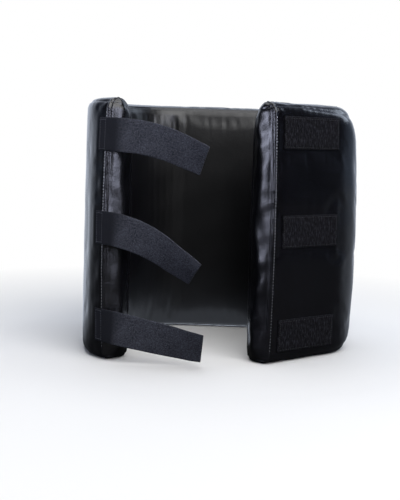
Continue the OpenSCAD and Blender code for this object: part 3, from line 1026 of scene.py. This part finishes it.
def stitches(name, places, along, normals, finish, size=(0.0013, 0.00050)):
    """One thread stitch at each place: a small capsule of rings along its direction, sunk by a third."""
    half, radius = size
    turn = np.linspace(0, 2 * math.pi, 7)[:-1]
    reach = np.array([-1.0, -0.8, 0.0, 0.8, 1.0])
    thick = np.array([0.25, 0.85, 1.0, 0.85, 0.25])
    sag = np.array([-0.9, -0.35, 0.25, -0.35, -0.9])
    a = np.repeat(reach * half, 6)
    b = (thick[:, None] * np.cos(turn)).ravel() * radius
    c = (thick[:, None] * np.sin(turn) + sag[:, None]).ravel() * radius
    along = along / np.linalg.norm(along, axis=1, keepdims=True)
    ways = (along, np.cross(normals, along), normals)
    points = places[:, None, :] + sum(k[:, None] * way[:, None, :] for k, way in zip((a, b, c), ways))
    caps = np.array([[3, 2, 1, 0], [5, 4, 3, 0], [24, 25, 26, 27], [24, 27, 28, 29]])
    one = np.concatenate([ring_quads(5, 6), caps])
    quads = (one[None] + 30 * np.arange(len(places))[:, None, None]).reshape(-1, 4)
    return new_mesh(name, points.reshape(-1, 3), quads, finish)


class Path(NamedTuple):
    """The middle line of a band: places, directions across and out, and distances along its map."""

    places: np.ndarray
    across: np.ndarray
    out: np.ndarray
    along: np.ndarray


def strap_path(pad, strap, name, a, z):
    """Middle line of a strap at distances a from the arm's end.

    It leaves straight ahead, turns in by the yaw at its crease and pitches down along its runs. The tangent
    is summed along the length. Towards the tip the band twists about a line inside its upper edge.
    """
    shape = STRAPS[name]
    place, turn, _ = slab_walk(pad, np.zeros(1))
    ahead, outward = -heading(turn)[0], -inward(turn)[0]
    crease = strap.stub + strap.gap / 2
    marks = crease + strap.gap / 2 + np.cumsum([0, *(run for run, _ in shape.runs)])
    angles = [shape.pitch, *(down for _, down in shape.runs)]
    bent = ease((a - crease + shape.soft) / (2 * shape.soft))
    yaw = (strap.yaw * bent)[:, None]
    down = (np.radians(np.interp(a, marks, angles)) * bent)[:, None]
    level = raised(np.cos(yaw) * ahead - np.sin(yaw) * outward, 0.0)
    tangent = np.cos(down) * level - np.sin(down) * UP
    across = np.sin(down) * level + np.cos(down) * UP
    step = np.diff(a)[:, None] * (tangent[1:] + tangent[:-1]) / 2
    start = place[0] + a[0] * ahead + (strap.tape / 2 - face_depth(pad, z)) * outward
    places = np.concatenate([np.zeros((1, 3)), np.cumsum(step, 0)]) + np.array([*start, z])
    out = np.cross(tangent, across)
    out = out * np.sign((out[0, :2] * outward).sum())
    past = np.clip((a - marks[0]) / (marks[-1] - marks[0]), 0, 1)
    growth, axis = 1.4, 0.6 * strap.width / 2
    twist = (math.radians(shape.twist) * past**growth)[:, None]
    places = places - axis * np.sin(twist) * out
    turned = np.cos(twist) * across + np.sin(twist) * out
    return Path(places, turned, np.cos(twist) * out - np.sin(twist) * across, a)


def ribbon(name, path, width, back, front, lift, finish):
    """A flat band with rounded edges and its map in metres.

    Its closed profile of width and thickness is carried along the path, raised by a lift given at each place
    along and across.
    """
    n, bulge = BAND_STEPS, 1.012
    w = np.linspace(-1, 1, n + 1)
    profile_w = np.concatenate([w, [bulge], w[::-1], [-bulge]]) * (width / 2)
    middle = (front + back) / 2
    profile_n = np.concatenate([np.full(n + 1, front), [middle], np.full(n + 1, back), [middle]])
    both = np.concatenate([np.arange(n + 1), [n], np.arange(n + 1)[::-1], [0]])
    offset = profile_n[None, :] + lift[:, both]
    points = path.places[:, None, :] + profile_w[None, :, None] * path.across[:, None, :]
    points = points + offset[:, :, None] * path.out[:, None, :]
    rows, columns = points.shape[:2]
    caps = at_both_ends(rows, columns, strip_quads(n, 2 * n + 2))
    corners = np.array([[n, n + 1, n + 2], [0, 2 * n + 2, 2 * n + 3]])
    quads = np.concatenate([ring_quads(rows, columns), caps])
    corners = at_both_ends(rows, columns, corners)
    piece = new_mesh(name, points.reshape(-1, 3), quads, finish, triangles=corners)
    uv = np.stack(np.broadcast_arrays(path.along[:, None], profile_w[None, :]), -1)
    set_uv(piece, uv.reshape(-1, 2))
    return piece


class KICKPAD_OT_straps(bpy.types.Operator):
    """Make the three straps, their hook layers and their stitching"""

    bl_idname = "kick_pad.straps"
    bl_label = "Straps"

    def execute(self, context):
        scene = context.scene
        pad, strap, finish = scene.kick_pad_slab, scene.kick_pad_straps, scene.kick_pad_finish
        weave = weave_finish("woven_tape", finish.tape)
        studs = hook_finish("hook_tape", finish.hooks)
        thread = thread_finish("strap_thread", scaled(finish.tape, 1.15))
        past = strap.stub + strap.gap
        for k, (name, shape) in enumerate(STRAPS.items()):
            z = middle_height(f"{name}_strap_anchor")
            reach = past + sum(run for run, _ in shape.runs)
            bend_from, bend_to = strap.stub - 0.008, strap.stub + 0.016
            a = np.concatenate([
                np.linspace(-strap.sewn, bend_from, 16)[:-1],
                np.linspace(bend_from, bend_to, 25)[:-1],
                np.linspace(bend_to, reach, 58),
            ])
            path = strap_path(pad, strap, name, a, z)
            lift = self.lift(pad, strap, shape, a[:, None], z, reach, k)
            half, play = strap.tape / 2, 0.00005
            tape = ribbon(f"{name}_strap", path, strap.width, -half, half, lift, weave)
            hooked = a >= past + shape.hooks_from
            back, width = -half - play, strap.width - strap.trim
            part = Path(*(values[hooked] for values in path))
            layer = f"{name}_strap_hooks_layer"
            hooks = ribbon(layer, part, width, back - strap.hooks, back, lift[hooked], studs)
            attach(hooks, f"{name}_strap")
            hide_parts(f"{name}_strap_hooks")
            sewing = stitches(f"{name}_strap_stitches", *self.sewn_rows(pad, strap, name, z), thread)
            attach(sewing, "left_arm")
            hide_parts(f"{name}_strap_anchor", f"{name}_strap_tape")
            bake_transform(tape)
        return {"FINISHED"}

    def lift(self, pad, strap, shape, along, z, reach, k):
        """Height of a strap over its path: the arm's crown, fading away, then waves, a cup and a curled tip."""
        w = np.linspace(-1, 1, BAND_STEPS + 1)[None, :]
        half = strap.width / 2
        crown = face_depth(pad, z) - face_depth(pad, z + w * half)
        free = ease((along - strap.stub) / 0.03)
        tip = ease((along - reach + 0.05) / 0.05)
        lift = crown * (1 - ease(along / strap.stub))
        lift = lift + free * 0.00045 * ripple(along + 0.2 * half * w, 0.03, 0.09, 5, 81 + k)
        lift = lift - free * 0.0009 * w * w + tip * 0.004 * np.clip(w, 0, 1) ** 2 * shape.curl
        return lift + 0.00005 * ripple(w * half + 0 * along, 0.011, 0.02, 4, 91 + k) * free

    def sewn_rows(self, pad, strap, name, z):
        """Places, directions and normals of a box of stitches on the sewn tail."""
        a = np.linspace(-strap.sewn + STITCH_INSET, -STITCH_INSET, 200)
        path = strap_path(pad, strap, name, a, z)
        half = strap.width / 2 - STITCH_INSET
        up = np.arange(-half, half + 1e-6, 0.0036)
        over = np.arange(0, len(a), 56)
        w = np.concatenate([up, up, np.full(len(over), half), np.full(len(over), -half)])
        i = np.concatenate([np.zeros(len(up), int), np.full(len(up), len(a) - 1), over, over])
        crown = face_depth(pad, z) - face_depth(pad, z + w)
        proud = strap.tape / 2 + 0.00012
        places = path.places[i] + w[:, None] * path.across[i] + (proud + crown)[:, None] * path.out[i]
        is_upright = (np.arange(len(w)) < 2 * len(up))[:, None]
        return places, np.where(is_upright, path.across[i], np.gradient(path.places, axis=0)[i]), path.out[i]


class KICKPAD_OT_patches(bpy.types.Operator):
    """Make the three loop patches and their stitching"""

    bl_idname = "kick_pad.patches"
    bl_label = "Loop patches"

    def execute(self, context):
        scene = context.scene
        pad, patch, finish = scene.kick_pad_slab, scene.kick_pad_patches, scene.kick_pad_finish
        pile = pile_finish("loop_pile", finish.loops)
        thread = thread_finish("patch_thread", scaled(finish.loops, 1.2))
        last = slab_marks(pad)[2] - patch.inset
        s = np.linspace(last - patch.length, last, PATCH_ROWS)
        place, turn, _ = slab_walk(pad, s)
        for k, name in enumerate(STRAPS):
            z = middle_height(f"{name}_loop_patch")
            path = Path(raised(place, z), np.tile(UP, (len(s), 1)), raised(-inward(turn), 0.0), s)
            lift = self.lift(pad, patch, s, z, k)
            piece = ribbon(f"{name}_patch", path, patch.width, -0.0002, patch.pile, lift, pile)
            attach(piece, "right_arm")
            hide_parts(f"{name}_loop_patch")
            rows = self.edge_rows(pad, patch, z, last)
            sewing = stitches(f"{name}_patch_stitches", *rows, thread, (0.0012, 0.00035))
            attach(sewing, "right_arm")
        return {"FINISHED"}

    def lift(self, pad, patch, s, z, k):
        """Height of a patch over its path: the face's crown, a sunk stitch line, uneven pile and low edges."""
        w = np.linspace(-1, 1, BAND_STEPS + 1)[None, :]
        half = patch.width / 2
        from_edge = np.minimum((1 - np.abs(w)) * half, np.minimum(s - s[0], s[-1] - s)[:, None])
        fuzz = np.random.default_rng(101 + k).normal(0, 1, from_edge.shape)
        fuzz = (fuzz + np.roll(fuzz, 1, 0) + np.roll(fuzz, 1, 1)) / 3
        sunk = -0.0006 * bump(from_edge - STITCH_INSET, 0.0012)
        crown = -face_depth(pad, z + w * half)
        return crown + sunk + 0.00022 * fuzz * ease(from_edge / 0.002) - 0.0008 * bump(from_edge, 0.001)

    def edge_rows(self, pad, patch, z, last):
        """Places, directions and normals of the stitches in the sunk line round a patch."""
        pitch = 0.0034
        half = patch.width / 2 - STITCH_INSET
        start, stop = last - patch.length + STITCH_INSET, last - STITCH_INSET
        over, up = np.arange(start, stop, pitch), np.arange(-half, half, pitch)
        s = np.concatenate([over, over, np.full(len(up), start), np.full(len(up), stop)])
        w = np.concatenate([np.full(len(over), half), np.full(len(over), -half), up, up])
        place, turn, _ = slab_walk(pad, s)
        out = raised(-inward(turn), 0.0)
        lift = patch.pile - 0.0005 - face_depth(pad, z + w)
        is_over = (np.arange(len(s)) < 2 * len(over))[:, None]
        along = np.where(is_over, raised(heading(turn), 0.0), UP)
        return raised(place, z + w) + lift[:, None] * out, along, out


class KICKPAD_OT_seams(bpy.types.Operator):
    """Make the stitching along both sewn ends"""

    bl_idname = "kick_pad.seams"
    bl_label = "End seams"

    def execute(self, context):
        pad, finish = context.scene.kick_pad_slab, context.scene.kick_pad_finish
        # The end seams' thread carries painted shade that darkens it towards the floor.
        thread = thread_finish("seam_thread", finish.thread, low_shade=0.85)
        margin, pitch, from_end, proud = 0.022, 0.0046, 0.0026, 0.0006
        z = np.arange(margin, pad.height - margin, pitch)
        for name, s in (("left", from_end), ("right", slab_marks(pad)[2] - from_end)):
            place, turn, _ = slab_walk(pad, np.full(len(z), s))
            out = raised(-inward(turn), 0.0)
            places = raised(place, z) + (proud - face_depth(pad, z))[:, None] * out
            sewing = stitches(f"{name}_end_stitches", places, np.tile(UP, (len(z), 1)), out, thread)
            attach(sewing, f"{name}_arm")
        return {"FINISHED"}


def backdrop_share(tree, way, most):
    """Share of the bright backdrop in a direction."""
    towards = vector_math(tree, "DOT_PRODUCT", way, other=BACKDROP_WAY)
    return ramp(tree, towards, 0.42, 0.80, 0.0, most)


def beside_share(tree, way, most):
    """Share of the dim light beside and behind the pad in a direction."""
    return ramp(tree, axis_of(tree, way, "Y"), -0.15, 0.30, 0.0, most)


def floor_finish(name, base):
    """Pale floor that fades to white for the camera, away from the pad.

    It throws hardly any light back on the pad. Reflections see it lit towards the backdrop and beside the pad.
    """
    material, tree, shader = new_finish(name, base, Roughness=0.7)
    at = object_places(tree)
    path = add_node(tree, "ShaderNodeLightPath").outputs
    pale = mix_colours(tree, noise(tree, at, 3.0), scaled(base, 0.985), base)
    tone = mix_colours(tree, path["Is Camera Ray"], scaled(base, 0.02), pale)
    tree.links.new(tone, shader.inputs["Base Color"])
    far = ramp(tree, vector_math(tree, "LENGTH", at), 0.35, 1.0, 0.0, 1.0)
    way = vector_math(tree, "NORMALIZE", at, "Vector")
    around = combine(tree, "MAXIMUM", backdrop_share(tree, way, 0.95), beside_share(tree, way, 0.30))
    seen = combine(tree, "MULTIPLY", path["Is Camera Ray"], far)
    reflected = combine(tree, "MULTIPLY", path["Is Glossy Ray"], around)
    white = add_node(tree, "ShaderNodeEmission", Strength=1.0)
    tint = mix_colours(tree, path["Is Camera Ray"], (0.84, 0.92, 1.07), (1.0, 1.0, 1.0))
    tree.links.new(tint, white.inputs["Color"])
    both = add_node(tree, "ShaderNodeMixShader")
    sources = (combine(tree, "MAXIMUM", seen, reflected), shader.outputs[0], white.outputs[0])
    for index, source in enumerate(sources):
        tree.links.new(source, both.inputs[index])
    tree.links.new(both.outputs[0], tree.nodes["Material Output"].inputs["Surface"])
    return material


class KICKPAD_OT_stage(bpy.types.Operator):
    """Make the floor, the light and the camera"""

    bl_idname = "kick_pad.stage"
    bl_label = "Stage"

    def execute(self, context):
        scene = context.scene
        scene.view_settings.view_transform = "Standard"
        self.add_camera(scene)
        self.add_floor(scene)
        self.add_lamps(scene)
        self.add_room(scene)
        return {"FINISHED"}

    def add_camera(self, scene):
        """Stand the camera in front of the open side, tipped down and rolled a little."""
        camera = bpy.data.cameras.new("camera")
        camera.lens = 69.0
        camera.sensor_width = 36
        camera.shift_y = -0.0956
        place, down, roll = (-0.0355, -1.5935, 0.3346), math.radians(3.53), math.radians(1.62)
        tilt = Matrix.Rotation(math.pi / 2 - down, 4, "X") @ Matrix.Rotation(roll, 4, "Z")
        view = bpy.data.objects.new("camera", camera)
        view.matrix_world = Matrix.Translation(place) @ tilt
        scene.collection.objects.link(view)
        scene.camera = view

    def add_floor(self, scene):
        """Lay a wide square floor at the standing plane."""
        half = 6.0
        corners = [(-half, -half, 0), (half, -half, 0), (half, half, 0), (-half, half, 0)]
        mesh = bpy.data.meshes.new("floor")
        mesh.from_pydata(corners, [], [[0, 1, 2, 3]])
        mesh.materials.append(floor_finish("pale_floor", scene.kick_pad_finish.floor))
        floor = bpy.data.objects.new("floor", mesh)
        scene.collection.objects.link(floor)

    def add_lamps(self, scene):
        """Hang the area lamps."""
        for lamp in LAMPS:
            light = bpy.data.lights.new(lamp.name, "AREA")
            light.shape = "RECTANGLE"
            light.size, light.size_y = lamp.size
            light.energy = lamp.power
            light.color = lamp.tint
            light.spread = math.radians(lamp.spread)
            hung = bpy.data.objects.new(lamp.name, light)
            way = Vector((0, 0, lamp.aim)) - Vector(lamp.place)
            hung.location = lamp.place
            hung.rotation_euler = way.to_track_quat("-Z", "Y").to_euler()
            scene.collection.objects.link(hung)

    def add_room(self, scene):
        """Light the room: white for the camera, dim in front, cool beside and bright at the backdrop."""
        world = scene.world = bpy.data.worlds.new("studio")
        world.use_nodes = True
        tree = world.node_tree
        tree.nodes.clear()
        at = add_node(tree, "ShaderNodeTexCoord").outputs["Generated"]
        room = mix_colours(tree, beside_share(tree, at, 1.0), (0.020, 0.022, 0.028), (0.20, 0.25, 0.34))
        room = mix_colours(tree, backdrop_share(tree, at, 1.0), room, (0.82, 0.90, 1.06))
        is_camera = add_node(tree, "ShaderNodeLightPath").outputs["Is Camera Ray"]
        back = add_node(tree, "ShaderNodeBackground", Strength=1.0)
        tree.links.new(mix_colours(tree, is_camera, room, (1, 1, 1)), back.inputs["Color"])
        out = add_node(tree, "ShaderNodeOutputWorld")
        tree.links.new(back.outputs[0], out.inputs["Surface"])


class KICKPAD_PT_sidebar(bpy.types.Panel):
    """Sizes, colours and pieces of the kick pad"""

    bl_idname = "KICKPAD_PT_sidebar"
    bl_label = "Kick Pad"
    bl_space_type = "VIEW_3D"
    bl_region_type = "UI"
    bl_category = "Kick Pad"

    def draw(self, context):
        for key in GROUPS:
            box, group = self.layout.box(), getattr(context.scene, key)
            for name in group.bl_rna.properties.keys():
                if name not in {"rna_type", "name"}:
                    box.prop(group, name)
        for operator in OPERATORS:
            self.layout.operator(operator.bl_idname)


GROUPS = {
    "kick_pad_slab": KickPadSlab,
    "kick_pad_straps": KickPadStraps,
    "kick_pad_patches": KickPadPatches,
    "kick_pad_finish": KickPadFinish,
}
OPERATORS = (
    KICKPAD_OT_stage,
    KICKPAD_OT_cover,
    KICKPAD_OT_padding,
    KICKPAD_OT_seams,
    KICKPAD_OT_straps,
    KICKPAD_OT_patches,
)


def register():
    """Register the classes and hang the groups on the scene."""
    for cls in (*GROUPS.values(), *OPERATORS, KICKPAD_PT_sidebar):
        bpy.utils.register_class(cls)
    for name, cls in GROUPS.items():
        setattr(bpy.types.Scene, name, bpy.props.PointerProperty(type=cls))


def unregister():
    """Take the groups off the scene and unregister the classes."""
    for name in GROUPS:
        delattr(bpy.types.Scene, name)
    for cls in (KICKPAD_PT_sidebar, *OPERATORS, *GROUPS.values()):
        bpy.utils.unregister_class(cls)


def main():
    """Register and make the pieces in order."""
    register()
    bpy.ops.kick_pad.stage()
    bpy.ops.kick_pad.cover()
    bpy.ops.kick_pad.padding()
    bpy.ops.kick_pad.seams()
    bpy.ops.kick_pad.straps()
    bpy.ops.kick_pad.patches()


if __name__ == "__main__":
    main()
